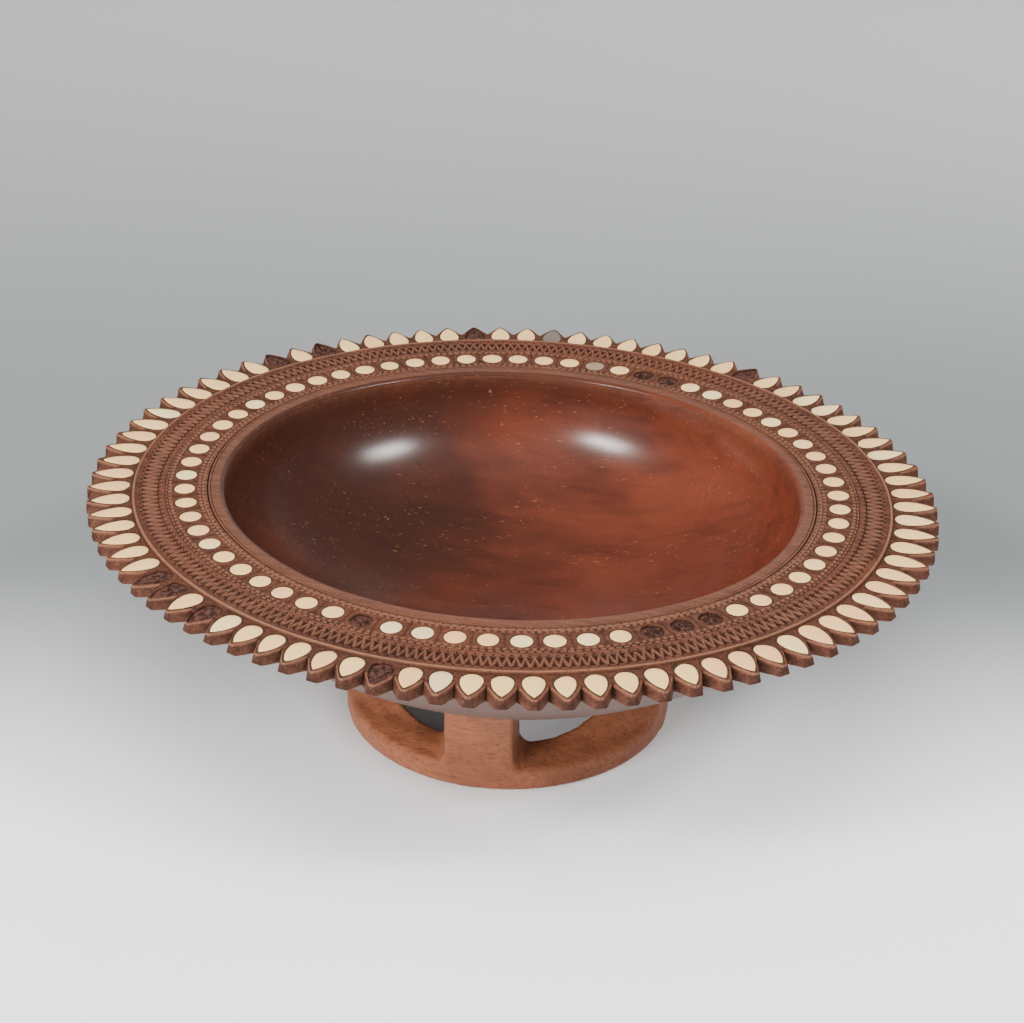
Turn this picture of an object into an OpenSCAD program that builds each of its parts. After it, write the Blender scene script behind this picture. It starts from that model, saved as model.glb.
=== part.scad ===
// Oval footed bowl, carved from one block of wood, with a toothed rim.
// Teardrop and round shells are set in putty in recesses round the rim.
// X runs along the bowl, +Z is up, and the origin is the middle of the foot on the floor.

/* [Plan] */
// Length of the bowl over the tooth tips
bowl_l = 422; // [340:1:520]
// Width of the bowl over the tooth tips
bowl_w = 392; // [320:1:500]

/* [Heights] */
// Height of the bowl's underside above the floor
foot_h = 43.5; // [32:0.5:60]
// Thickness of wood under the middle of the basin
floor_t = 13; // [8:1:25]
// Depth of the basin below its edge
basin_depth = 70; // [50:1:90]
// How far the lip falls to the basin's edge
lip_fall = 2; // [0.5:0.5:4]

/* [Toothed zone] */
// Thickness of the rim at the tooth tips
rim_t = 5.5; // [4:0.5:10]
// How far the rim's underside falls from the tooth tips to the belly
under_fall = 4; // [1:0.5:8]
// How far the toothed zone lies below the raised bands
tooth_zone_drop = 1.6; // [0.5:0.1:2.5]
// Distance from one tooth to the next, along the row of teardrops
tooth_pitch = 14.3; // [13.8:0.1:20]
// Width of the flat tip of a tooth
tooth_tip_w = 4; // [2:0.5:6]
// Depth of the notch between two teeth
notch_depth = 9; // [5:0.5:11]
// How far the first tooth is moved round the rim, in pitches
tooth_shift = 0.97; // [0:0.01:1]
// How much closer the teeth stand on one half of the rim, in pitches
tooth_drift = 0.5; // [0:0.05:0.6]

/* [Shells and putty] */
// Length of a teardrop shell
teardrop_l = 17.8; // [13:0.1:23]
// Width of a teardrop shell
teardrop_w = 10.3; // [7:0.1:12.4]
// Distance from a tooth's tip to the point of its teardrop
teardrop_inset = 1.4; // [1.2:0.1:4]
// Diameter of a round shell
disc_d = 10.5; // [7:0.1:12.6]
// Distance from one round shell to the next
disc_pitch = 14.77; // [14.2:0.01:20]
// How far the first round shell is moved round the rim, in pitches
disc_shift = 0.18; // [0:0.01:1]
// How much the round shells drift round the rim, in pitches
disc_drift = 0.2; // [0:0.05:0.5]
// Thickness of every shell
shell_t = 1.8; // [1:0.1:2.5]
// Thickness of the putty under a shell
putty_bed_t = 0.9; // [0.4:0.1:1.5]
// Thickness of the putty round a shell
putty_wall = 0.5; // [0.3:0.05:0.8]
// How far a shell stands above the wood round it
shell_proud = 0.1; // [0:0.05:0.5]

/* [Carved bands] */
// Wood between a teardrop's recess and the outer raised band
teardrop_margin = 0.3; // [0.2:0.1:3]
// Width of the outer raised band
outer_band_w = 5; // [3:0.5:8]
// Width of the sunk band that holds the zigzag carving
zigzag_w = 8.3; // [5:0.1:12]
// Depth of the zigzag band
zigzag_depth = 1.5; // [0.5:0.1:2]
// Width of the middle raised band
middle_band_w = 4.2; // [3:0.1:8]
// Wood on each side of the round shells' recesses
disc_margin = 3; // [1:0.5:6]
// How far the round shells' zone lies below the raised bands
disc_zone_drop = 0.4; // [0.2:0.1:1.5]
// Width of the inner raised band
inner_band_w = 2.5; // [1.5:0.5:6]
// Width of the groove outside the lip
groove_w = 1.5; // [1:0.5:3]
// Depth of the groove outside the lip
groove_depth = 0.8; // [0.4:0.1:1.5]
// Width of the lip
lip_w = 7; // [5:0.5:12]

/* [Bowl] */
// Distance over which the basin's wall curves down to its floor
basin_run = 106; // [90:1:130]
// Distance from the tooth tips to where the belly starts below the rim
belly_inset = 31; // [26:1:45]
// Distance over which the belly curves down to the bowl's underside
belly_run = 141; // [120:1:160]
// How late the belly turns down: a higher value makes a flatter underside
belly_power = 3; // [2:0.1:3.5]

/* [Foot] */
// Diameter of the foot ring
foot_d = 169; // [130:1:200]
// Width of the foot ring, from its outer to its inner face
foot_ring_w = 19; // [14:1:30]
// Height of the foot ring at its outer face
foot_edge_h = 13; // [9:1:18]
// Height of the foot ring at its inner face
foot_inner_h = 16; // [10:1:22]
// Rounding along the ring's outer top edge
foot_round = 3.5; // [2:0.5:6]
// Angle that the pillars are turned from the bowl's axes
foot_turn = 4.5; // [-10:0.5:10]
// Width of the pillars under the bowl's long sides
side_pillar_w = 34; // [24:1:50]
// Radius of the hollow where those pillars meet the ring
side_pillar_flare = 5; // [3:1:20]
// Width of the pillars under the bowl's ends
end_pillar_w = 34; // [24:1:50]
// Radius of the hollow where those pillars meet the ring
end_pillar_flare = 18; // [3:1:24]

/* [Hidden] */
$fn = 180;

// Places in the rows, counted from +X anticlockwise, where the shell has fallen out
LOST_TEARDROPS = [14, 25, 31, 33, 52, 53, 55, 62];
LOST_DISCS = [13, 14, 48, 57, 58, 59];

// The shells and their putty are grouped in equal sectors of the rim
SECTORS = 12;
GROUPS = ["teardrop_shells", "disc_shells", "teardrop_putty", "disc_putty"];
function sector_name(group, s) = str(group, s < 10 ? "_0" : "_", s);

// The plan is a four-centred oval. Each arc's centre lies a distance c from the middle,
// the arcs meet on the diagonals through the centres, and every inset keeps the centres.
// The radii differ by c times the root of 2. Both come in whole steps whose ratio is that
// root, and every size of the section in hundredths, so the arcs meet exactly even when
// the sizes are written with six digits. This moves the length and width up to 0.6 mm.
CENTRE_STEP = 1.9601;
RADIUS_STEP = 2.772;
function hundredth(x) = round(x * 100) / 100;
oval_steps = round((bowl_l - bowl_w) / 2 / (2 - sqrt(2)) / CENTRE_STEP);
centre_c = oval_steps * CENTRE_STEP;
end_r = hundredth((bowl_l / 2 + bowl_w / 2 - oval_steps * RADIUS_STEP) / 2);
side_r = end_r + oval_steps * RADIUS_STEP;
half_l = end_r + centre_c;
half_w = side_r - centre_c;

// Insets from the tooth tips, outermost first
teardrop_end = teardrop_inset + teardrop_l;
outer_band_in = teardrop_end + putty_wall + teardrop_margin;
zigzag_in = outer_band_in + outer_band_w;
middle_band_in = zigzag_in + zigzag_w;
disc_zone_in = middle_band_in + middle_band_w;
disc_zone_w = disc_d + 2 * (putty_wall + disc_margin);
disc_in = disc_zone_in + disc_zone_w / 2;
inner_band_in = disc_zone_in + disc_zone_w;
groove_in = inner_band_in + inner_band_w;
lip_in = groove_in + groove_w;
basin_in = lip_in + lip_w;

// Heights above the floor
basin_floor_z = foot_h + floor_t;
basin_edge_z = basin_floor_z + basin_depth;
rim_z = basin_edge_z + lip_fall;
tooth_z = rim_z - tooth_zone_drop;
disc_z = rim_z - disc_zone_drop;
under_z = tooth_z - rim_t - under_fall;
recess_depth = putty_bed_t + shell_t - shell_proud;

// Curves of the basin and the belly, by inset from the tooth tips
BASIN_STEPS = 18;
BELLY_STEPS = 14;
function basin_z(d) =
    let (t = min(1, max(0, (d - basin_in) / basin_run)))
    basin_edge_z - basin_depth * sqrt(1 - pow(1 - t, 2));
function belly_z(d) =
    let (s = min(1, max(0, 1 - (d - belly_inset) / belly_run)))
    foot_h + (under_z - foot_h) * pow(s, belly_power);
function arc(cx, cy, r, a0, a1, n) =
    [for (i = [0:n]) let (a = a0 + (a1 - a0) * i / n) [cx + r * cos(a), cy + r * sin(a)]];

// Rows of inlays: the number that fits, and each one's angle on the oval
function row_length(d) = PI * (end_r + side_r - 2 * d);
teardrop_row_in = teardrop_inset + teardrop_l / 2;
tooth_n = round(row_length(teardrop_row_in) / tooth_pitch);
disc_n = round(row_length(disc_in) / disc_pitch);
function oval_angle(s, d) =
    let (e = (end_r - d) * PI / 4, w = (side_r - d) * PI / 2, q = (s % (4 * e + 2 * w)))
    q < e ? 45 * q / e :
    q < e + w ? 45 + 90 * (q - e) / w :
    q < 3 * e + w ? 135 + 45 * (q - e - w) / e :
    q < 3 * e + 2 * w ? 225 + 90 * (q - 3 * e - w) / w :
    315 + 45 * (q - 3 * e - 2 * w) / e;
function tooth_angle(k) =
    let (u = k + tooth_shift - tooth_drift * cos(360 * k / tooth_n))
    oval_angle(u * row_length(teardrop_row_in) / tooth_n, teardrop_row_in);
function disc_angle(k) =
    let (u = k + disc_shift + disc_drift * cos(360 * k / disc_n))
    oval_angle(u * row_length(disc_in) / disc_n, disc_in);
function is_side(a) = (a > 45 && a < 135) || (a > 225 && a < 315);
function lost(k, places) = len([for (p = places) if (p == k) p]) > 0;
function in_sector(k, n, s) = floor(k * SECTORS / n) + 1 == s;

// Puts its children on the oval at an angle and an inset, with local +X pointing outwards
module on_oval(angle, inset) {
    centre = is_side(angle) ? [0, angle < 180 ? -centre_c : centre_c]
        : [cos(angle) > 0 ? centre_c : -centre_c, 0];
    radius = is_side(angle) ? side_r : end_r;
    translate([centre.x, centre.y, 0]) rotate([0, 0, angle]) translate([radius - inset, 0, 0])
        children();
}

// Outline of a teardrop: a half circle inside and a pointed arch outside, origin at the point
module teardrop_outline(grow) {
    h = teardrop_w / 2;
    arch_l = teardrop_l - h;
    arch_r = (arch_l * arch_l + h * h) / (2 * h);
    reach = sqrt(pow(arch_r + grow, 2) - pow(arch_r - h, 2));
    translate([-arch_l, 0]) {
        circle(r = h + grow);
        intersection() {
            translate([0, arch_r - h]) circle(r = arch_r + grow);
            translate([0, h - arch_r]) circle(r = arch_r + grow);
            translate([0, -h - grow]) square([reach + 1, 2 * (h + grow)]);
        }
    }
}

module disc_outline(grow) {
    circle(d = disc_d + 2 * grow, $fn = 48);
}

// Section of the bowl along one radius of the oval: insets from the tooth tips, and heights
function bowl_section(r) = concat(
    [
        [0, tooth_z - rim_t], [0, tooth_z],
        [outer_band_in, tooth_z], [outer_band_in, rim_z],
        [zigzag_in, rim_z], [zigzag_in, rim_z - zigzag_depth],
        [middle_band_in, rim_z - zigzag_depth], [middle_band_in, rim_z],
        [disc_zone_in, rim_z], [disc_zone_in, disc_z],
        [inner_band_in, disc_z], [inner_band_in, rim_z],
        [groove_in, rim_z], [groove_in, rim_z - groove_depth],
        [lip_in, rim_z - groove_depth], [lip_in, rim_z]
    ],
    [for (a = [60:-15:0]) [basin_in - lip_w / 2 * (1 - sin(90 - a)), basin_edge_z + lip_fall * sin(a)]],
    [for (i = [1:BASIN_STEPS])
        let (d = basin_in + basin_run * (1 - cos(90 * i / BASIN_STEPS)))
        if (d < r - 1) [d, basin_z(d)]],
    [[r, basin_z(r)], [r, belly_z(r)]],
    [for (i = [0:BELLY_STEPS])
        let (d = belly_inset + belly_run * (1 - i / BELLY_STEPS))
        if (d < r - 1) [d, belly_z(d)]]
);

// The section turned through a quarter round one centre of the oval
module bowl_quarter(r, start) {
    rotate_extrude(angle = 90, start = start)
        polygon([for (p = bowl_section(r)) [p.x == r ? 0 : r - hundredth(p.x), hundredth(p.y)]]);
}

module bowl_block() {
    for (side = [0, 180]) rotate([0, 0, side]) {
        translate([centre_c, 0, 0]) bowl_quarter(end_r, -45);
        translate([0, -centre_c, 0]) bowl_quarter(side_r, 45);
    }
}

// V-shaped notch between two teeth, cut straight down
module tooth_notch() {
    tip_pitch = row_length(0) / tooth_n;
    half_w = (tip_pitch - tooth_tip_w) / 2;
    past = 3;
    outer_w = half_w * (notch_depth + past) / notch_depth;
    translate([0, 0, under_z - 1]) linear_extrude(rim_t + under_fall + 2)
        polygon([[-notch_depth, 0], [past, outer_w], [past, -outer_w]]);
}

foot_r = foot_d / 2;
foot_inner_r = foot_r - foot_ring_w;
BASE_ROUND = 1.5;
INNER_ROUND = 2;
// How far the hollows beside a pillar start below the ring's outer edge
FLARE_SINK = 3;
// The pillars end inside the wood of the bowl
pillar_top = max(belly_z(half_l - foot_r), belly_z(half_w - foot_r)) + 1.5;

// How far cutting shapes pass the surfaces that they cut
PAST = 3;

// Tube that the foot is carved from, up into the wood of the bowl
module foot_tube() {
    rotate_extrude() polygon(concat(
        arc(foot_r - BASE_ROUND, BASE_ROUND, BASE_ROUND, -90, 0, 4),
        [[foot_r, pillar_top], [foot_inner_r, pillar_top], [foot_inner_r, 0]]
    ));
}

// Everything above the ring's rounded top
module above_ring() {
    rotate_extrude() polygon(concat(
        [[foot_r + PAST, foot_edge_h - foot_round]],
        arc(foot_r - foot_round, foot_edge_h - foot_round, foot_round, 0, 75, 6),
        arc(foot_inner_r + INNER_ROUND, foot_inner_h - INNER_ROUND, INNER_ROUND, 80, 180, 5),
        [
            [foot_inner_r - PAST, foot_inner_h - INNER_ROUND],
            [foot_inner_r - PAST, pillar_top + PAST], [foot_r + PAST, pillar_top + PAST]
        ]
    ));
}

// Wood left standing for a pillar along +X, with a hollow of radius flare on each side
module pillar_stock(w, flare) {
    flare_z = foot_edge_h - FLARE_SINK;
    half = w / 2;
    length = foot_r + 2 * PAST;
    translate([0, -half, 0]) cube([length, w, pillar_top + 2 * PAST]);
    difference() {
        translate([0, -half - flare, 0]) cube([length, w + 2 * flare, flare_z + flare]);
        for (s = [-1, 1]) translate([-1, s * (half + flare), flare_z + flare])
            rotate([0, 90, 0]) cylinder(r = flare, h = length + 2);
    }
}

// Foot ring and its four pillars, the pillars under the bowl's ends wider at the bottom
module foot() {
    difference() {
        foot_tube();
        difference() {
            above_ring();
            for (k = [0:3]) rotate([0, 0, foot_turn + 90 * k])
                pillar_stock(k % 2 == 0 ? end_pillar_w : side_pillar_w,
                    k % 2 == 0 ? end_pillar_flare : side_pillar_flare);
        }
    }
}

// The carved block: bowl, rim, pillars and foot ring in one piece of wood
module bowl() {
    color("#7a4a36") difference() {
        union() {
            bowl_block();
            foot();
        }
        for (k = [0:tooth_n - 1]) {
            on_oval(tooth_angle(k + 0.5), 0) tooth_notch();
            on_oval(tooth_angle(k), teardrop_inset) translate([0, 0, tooth_z - recess_depth])
                linear_extrude(recess_depth + 1) teardrop_outline(putty_wall);
        }
        for (k = [0:disc_n - 1]) on_oval(disc_angle(k), disc_in)
            translate([0, 0, disc_z - recess_depth])
                linear_extrude(recess_depth + 1) disc_outline(putty_wall);
    }
}

module teardrop_shells(s) {
    color("#eedfbe") for (k = [0:tooth_n - 1])
        if (in_sector(k, tooth_n, s) && !lost(k, LOST_TEARDROPS))
            on_oval(tooth_angle(k), teardrop_inset)
                translate([0, 0, tooth_z + shell_proud - shell_t])
                    linear_extrude(shell_t) teardrop_outline(0);
}

module disc_shells(s) {
    color("#ecdcc0") for (k = [0:disc_n - 1])
        if (in_sector(k, disc_n, s) && !lost(k, LOST_DISCS))
            on_oval(disc_angle(k), disc_in)
                translate([0, 0, disc_z + shell_proud - shell_t])
                    linear_extrude(shell_t) disc_outline(0);
}

// Putty in a teardrop recess: a bed, and a wall round the shell where there is one
module teardrop_putty(s) {
    color("#3b3020") for (k = [0:tooth_n - 1])
        if (in_sector(k, tooth_n, s))
            on_oval(tooth_angle(k), teardrop_inset) translate([0, 0, tooth_z - recess_depth])
                difference() {
                    linear_extrude(lost(k, LOST_TEARDROPS) ? putty_bed_t : recess_depth)
                        teardrop_outline(putty_wall);
                    translate([0, 0, putty_bed_t]) linear_extrude(recess_depth)
                        teardrop_outline(0);
                }
}

// Putty in a round recess, made the same way
module disc_putty(s) {
    color("#3b3020") for (k = [0:disc_n - 1])
        if (in_sector(k, disc_n, s))
            on_oval(disc_angle(k), disc_in) translate([0, 0, disc_z - recess_depth])
                difference() {
                    linear_extrude(lost(k, LOST_DISCS) ? putty_bed_t : recess_depth)
                        disc_outline(putty_wall);
                    translate([0, 0, putty_bed_t]) linear_extrude(recess_depth)
                        disc_outline(0);
                }
}

bowl();
for (s = [1:SECTORS]) {
    teardrop_shells(s);
    disc_shells(s);
    teardrop_putty(s);
    disc_putty(s);
}
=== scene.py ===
"""Carved oval bowl with shell inlay: the finished look of every piece."""
import math
import random

import bmesh
import bpy
from bpy.props import FloatProperty, FloatVectorProperty, IntProperty, PointerProperty
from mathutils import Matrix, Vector, noise


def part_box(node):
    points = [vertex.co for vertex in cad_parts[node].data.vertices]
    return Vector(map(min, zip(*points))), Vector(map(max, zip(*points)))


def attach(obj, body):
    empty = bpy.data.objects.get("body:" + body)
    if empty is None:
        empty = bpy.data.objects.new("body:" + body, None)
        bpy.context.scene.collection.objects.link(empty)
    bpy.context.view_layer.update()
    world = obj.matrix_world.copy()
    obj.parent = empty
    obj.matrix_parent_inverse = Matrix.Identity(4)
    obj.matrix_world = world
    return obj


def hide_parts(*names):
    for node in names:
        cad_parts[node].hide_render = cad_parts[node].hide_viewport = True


bl_info = {
    "name": "Carved Inlaid Bowl",
    "version": (1, 0, 0),
    "blender": (4, 5, 0),
    "location": "3D View > Sidebar > Bowl",
    "description": "Builds the finished look of an oval carved bowl with shell inlay",
    "category": "Object",
}

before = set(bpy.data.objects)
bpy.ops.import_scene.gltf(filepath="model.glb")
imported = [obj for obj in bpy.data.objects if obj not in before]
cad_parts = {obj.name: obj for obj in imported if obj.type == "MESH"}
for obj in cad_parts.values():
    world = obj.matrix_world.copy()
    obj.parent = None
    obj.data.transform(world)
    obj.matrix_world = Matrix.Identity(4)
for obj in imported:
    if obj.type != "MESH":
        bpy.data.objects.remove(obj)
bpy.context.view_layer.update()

MM = 0.001
SECTORS = 12
# Insets from the tooth tips, in mm
TOOTH_ROW, DISC_ROW, ZIGZAG_ROW = 10.3, 46.25, 29.15     # middle lines of the rows
TOOTH_ZONE_IN = 20.0        # where the toothed zone ends
DISC_ZONE = (38.0, 54.6)    # the zone of the round shells
SHELL_TIP = 1.4             # from a tooth's tip to its shell's point
BASIN_IN, BASIN_RUN = 66.0, 106.0   # where the basin starts, and how far its wall runs in
UNDER_IN = 31.0             # where the underside of the rim turns into the belly
RIM_FALL = 4.0              # how much the underside of the rim falls from the tips to there
BELLY_TOP = 0.1212          # in metres: wood below this height is belly
BOWL_LOW, BOWL_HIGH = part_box("bowl")
LOST_TEARDROPS = (14, 25, 31, 33, 52, 53, 55, 62)
LOST_DISCS = (13, 14, 48, 57, 58, 59)
ROUGH_TEETH = (52, 53, 54, 55, 62)
# Shells that differ from the usual cream: below 0 is grey and dull, above 1 is bright and pearly
ODD_TEARDROPS = {22: -0.9, 12: 0.1, 64: 1.5}
ODD_DISCS = {16: -0.7, 10: 0.1, 49: 1.3, 50: 1.5}


def length(name, description, default, low=0.0, high=1.0):
    """A property for a length in metres."""
    return FloatProperty(name=name, description=description, default=default, min=low, max=high,
                         subtype="DISTANCE", unit="LENGTH", precision=5)


def colour(name, description, default):
    """A property for a linear colour."""
    return FloatVectorProperty(name=name, description=description, default=default, size=3,
                               min=0.0, max=1.0, subtype="COLOR")


class BowlSizes(bpy.types.PropertyGroup):
    """Sizes of the carved wood."""
    oval_length: length("Length", "Length of the bowl over the tooth tips", BOWL_HIGH.x - BOWL_LOW.x)
    oval_width: length("Width", "Width of the bowl over the tooth tips", BOWL_HIGH.y - BOWL_LOW.y)
    rim_z: length("Rim height", "Height of the raised bands above the floor", BOWL_HIGH.z)
    tooth_z: length("Toothed zone height", "Height of the toothed zone above the floor",
                    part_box("teardrop_shells_01")[1].z - 0.0001)
    disc_z: length("Round zone height", "Height of the zone round the round shells",
                   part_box("disc_shells_01")[1].z - 0.0001)
    notch_depth: length("Notch depth", "Depth of the notch between two teeth", 0.0102)
    tooth_fall: length("Tooth thickness", "Thickness of the rim at the tooth tips", 0.0055)
    basin_depth: length("Basin depth", "Depth of the basin below its edge", 0.070)
    basin_floor_z: length("Basin floor", "Height of the middle of the basin above the floor", 0.0565)
    belly_z: length("Underside", "Height of the bowl's underside above the floor", 0.0435)
    foot_diameter: length("Foot diameter", "Diameter of the foot ring", 0.169)
    foot_ring_width: length("Foot ring width", "Width of the foot ring", 0.019)
    foot_turn: FloatProperty(name="Foot turn", description="Angle of the pillars from the axes",
                             default=math.radians(4.5), subtype="ANGLE", unit="ROTATION")


class InlaySizes(bpy.types.PropertyGroup):
    """Sizes and numbers of the inlay and the fine carving."""
    tooth_count: IntProperty(name="Teeth", description="Teeth round the rim", default=85, min=20)
    disc_count: IntProperty(name="Round shells", description="Places for round shells", default=67, min=20)
    teardrop_length: length("Teardrop length", "Length of a teardrop shell", 0.0178)
    teardrop_width: length("Teardrop width", "Width of a teardrop shell", 0.0103)
    disc_diameter: length("Round shell diameter", "Diameter of a round shell", 0.0105)
    putty_wall: length("Putty width", "Putty round a shell", 0.0005)
    zigzag_count: IntProperty(name="Zigzags", description="Points of the zigzag ridge", default=262, min=20)
    nick_count: IntProperty(name="Nicks", description="Small cut wedges along an edge", default=310, min=20)


class WoodColours(bpy.types.PropertyGroup):
    """Colours of the wood, shell and putty."""
    rim: colour("Rim", "Wood of the carved rim", (0.113, 0.043, 0.027))
    # Also painted shade in the cuts, grooves and on the teeth's down-turned faces
    rim_dark: colour("Recesses", "Grime in the cuts", (0.020, 0.0085, 0.006))
    # Partly real wear and partly a painted highlight on ridge tops and edges
    rim_wear_and_highlight: colour("Worn edges", "Pale worn edges", (0.300, 0.145, 0.082))
    # The basin's two sides are partly the wood's own colour, with painted shade on the left and painted
    # light on the right
    basin_dark_shaded_side: colour("Basin, dark side", "Heartwood on the left of the basin", (0.045, 0.0145, 0.0092))
    basin_red_lit_side: colour("Basin, red side", "Wood on the right of the basin", (0.120, 0.0262, 0.0130))
    belly: colour("Belly", "Wood below the rim", (0.092, 0.048, 0.036))
    foot: colour("Foot", "Wood of the foot", (0.285, 0.100, 0.049))
    shell: colour("Shell", "Cream of the shells", (1.0, 0.62, 0.235))
    shell_pale: colour("Pale shell", "Pearly white of some shells", (0.97, 0.74, 0.38))
    shell_warm: colour("Warm shell", "Pink tan of some shells", (0.95, 0.52, 0.22))
    putty: colour("Putty", "Dry putty round the shells", (0.052, 0.026, 0.014))


class StageSettings(bpy.types.PropertyGroup):
    """Camera, floor and lights."""
    camera_place: FloatVectorProperty(
        name="Camera place", description="Where the camera stands", size=3,
        default=(0.26761, -1.02899, 0.68681), subtype="TRANSLATION", unit="LENGTH")
    camera_turn: FloatVectorProperty(
        name="Camera turn", description="How the camera is turned", size=3,
        default=(math.radians(61.629), math.radians(-0.752), math.radians(14.947)),
        subtype="EULER", unit="ROTATION")
    camera_lens: FloatProperty(
        name="Lens", description="Focal length in millimetres", default=83.955, min=10)
    floor_pale: colour("Floor, near", "Floor under and before the bowl", (0.95, 0.96, 0.97))
    # A painted shadow: the dark band on the floor just behind the bowl
    floor_shadow_band: colour("Floor, behind", "Floor just behind the bowl", (0.23, 0.24, 0.245))
    floor_grey: colour("Floor, far", "Floor far behind the bowl", (0.76, 0.77, 0.775))


# ---------------------------------------------------------------- the oval and its rows

class Oval:
    """The four-centred oval of the rim. Insets are in mm from the tooth tips, angles in degrees."""

    def __init__(self, sizes):
        half_l, half_w = sizes.oval_length / 2 / MM, sizes.oval_width / 2 / MM
        self.c = (half_l - half_w) / (2 - math.sqrt(2))
        self.end_r, self.side_r = half_l - self.c, half_w + self.c

    def row(self, inset):
        return math.pi * (self.end_r + self.side_r - 2 * inset)

    def angle(self, s, inset):
        """The direction of the outward normal at a distance s along the row at an inset."""
        e, w = (self.end_r - inset) * math.pi / 4, (self.side_r - inset) * math.pi / 2
        turn = math.floor(s / (4 * e + 2 * w))
        q = s - turn * (4 * e + 2 * w)
        for start, run, a0, a1 in ((0, e, 0, 45), (e, w, 45, 135), (e + w, 2 * e, 135, 225),
                                   (3 * e + w, w, 225, 315), (3 * e + 2 * w, e, 315, 360)):
            if q <= start + run or a1 == 360:
                return a0 + (a1 - a0) * (q - start) / run + 360 * turn

    def point(self, angle, inset, z=0.0):
        a = angle % 360
        side = 45 < a < 135 or 225 < a < 315
        r = (self.side_r if side else self.end_r) - inset
        cx = 0 if side else (self.c if math.cos(math.radians(a)) > 0 else -self.c)
        cy = (-self.c if a < 180 else self.c) if side else 0
        t = math.radians(a)
        return (cx + r * math.cos(t), cy + r * math.sin(t), z)


def tooth_angle(oval, k, count):
    u = k + 0.97 - 0.5 * math.cos(2 * math.pi * k / count)
    return oval.angle(u * oval.row(TOOTH_ROW) / count, TOOTH_ROW)


def disc_angle(oval, k, count):
    u = k + 0.18 + 0.2 * math.cos(2 * math.pi * k / count)
    return oval.angle(u * oval.row(DISC_ROW) / count, DISC_ROW)


def end_share(angle):
    """1 at the two ends of the oval and 0 at its sides, where the teeth are shorter."""
    return math.cos(math.radians(angle)) ** 2


END_TOOTH, END_SHELL = 3.1, 2.3     # how much further teeth and teardrops reach at the ends, in mm


def teardrop_reach(phi, grow, shell_l, shell_w):
    """How far the outline lies from the teardrop's round centre, in the direction phi from the point."""
    h = shell_w / 2
    if math.cos(phi) < -1e-9:
        return h + grow
    arch_l = shell_l - h
    arch_r = (arch_l * arch_l + h * h) / (2 * h)
    m, rho, s = arch_r - h, arch_r + grow, abs(math.sin(phi))
    return -m * s + math.sqrt(m * m * s * s + rho * rho - m * m)


# ---------------------------------------------------------------- mesh building

def new_object(name, data):
    """An object in the scene for a mesh, a lamp or a camera."""
    obj = bpy.data.objects.new(name, data)
    bpy.context.scene.collection.objects.link(obj)
    return obj


class Skin:
    """A mesh grown loop by loop, with marks at each point for grime and painted shade, for wear and painted
    highlight, and for polish.
    """

    def __init__(self):
        self.co, self.marks, self.faces = [], [], []

    def add(self, points, grime=0.0, wear=0.0, polish=0.0):
        start = len(self.co)
        self.co.extend(points)
        self.marks.extend([(grime, wear, polish)] * len(points))
        return list(range(start, len(self.co)))

    def bridge(self, a, b, closed=True):
        """Quads from an outer or lower loop to the next one."""
        n = len(a)
        for i in range(n if closed else n - 1):
            j = (i + 1) % n
            self.faces.append((a[i], a[j], b[j], b[i]))

    def fan(self, a, hub):
        for i in range(len(a)):
            self.faces.append((a[i], a[(i + 1) % len(a)], hub))

    def zip(self, a, ta, b, tb):
        """Triangles between two closed loops of different counts, by their angles."""
        near = min(range(len(b)), key=lambda j: abs((tb[j] - ta[0] + 180) % 360 - 180))
        b = b[near:] + b[:near]
        tb = tb[near:] + [t + 360 for t in tb[:near]]
        shift = 360 * round((tb[0] - ta[0]) / 360)
        tb = [t - shift for t in tb] + [tb[0] - shift + 360]
        ta = list(ta) + [ta[0] + 360]
        i = j = 0
        while i < len(a) or j < len(b):
            if j >= len(b) or (i < len(a) and ta[i + 1] <= tb[j + 1]):
                self.faces.append((a[i], a[(i + 1) % len(a)], b[j % len(b)]))
                i += 1
            else:
                self.faces.append((a[i % len(a)], b[(j + 1) % len(b)], b[j]))
                j += 1

    def make(self, name, sharp=40.0):
        mesh = bpy.data.meshes.new(name)
        mesh.from_pydata([tuple(v * MM for v in p) for p in self.co], [], self.faces)
        for i, mark in enumerate(("grime", "wear", "polish")):
            data = mesh.attributes.new(mark, "FLOAT", "POINT").data
            data.foreach_set("value", [m[i] for m in self.marks])
        mesh.update()
        mesh.shade_smooth()
        mesh.set_sharp_from_angle(angle=math.radians(sharp))
        return new_object(name, mesh)


def wobble(x, y, scale, amount, seed=0.0):
    """Slow unevenness of hand-cut surfaces, in mm."""
    return amount * noise.noise(Vector((x * scale, y * scale, seed)))


def finish_piece(obj, material, slot, *nodes):
    """Gives a piece its material and its place on the body, and hides the CAD nodes that it stands for."""
    obj.data.materials.clear()
    obj.data.materials.append(material)
    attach(obj, "root")
    if nodes:
        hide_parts(*nodes)
    return obj


def cell_border(outer, inner, sides, k, cols):
    """The border of place k of a zone, once round."""
    after = (k + 1) % len(sides)
    cell = slice(k * cols, (k + 1) * cols)
    return (outer[cell] + [outer[after * cols]] + sides[after] + [inner[after * cols]]
            + inner[cell][::-1] + sides[k][::-1])


def skin_recess(skin, border, loops, marks, hub, low):
    """Skins a recess from its border down to the middle of its bed. Marks are the grime and painted shade,
    and the wear and painted highlight, of its lip.
    """
    for loop, (grime, wear) in zip(loops, marks + ((1.0, 0.0), (0.9, 0.0))):
        new = skin.add(loop, grime, wear)
        skin.bridge(border, new)
        border = new
    skin.fan(border, skin.add([(hub[0], hub[1], low)], grime=0.9)[0])


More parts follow.
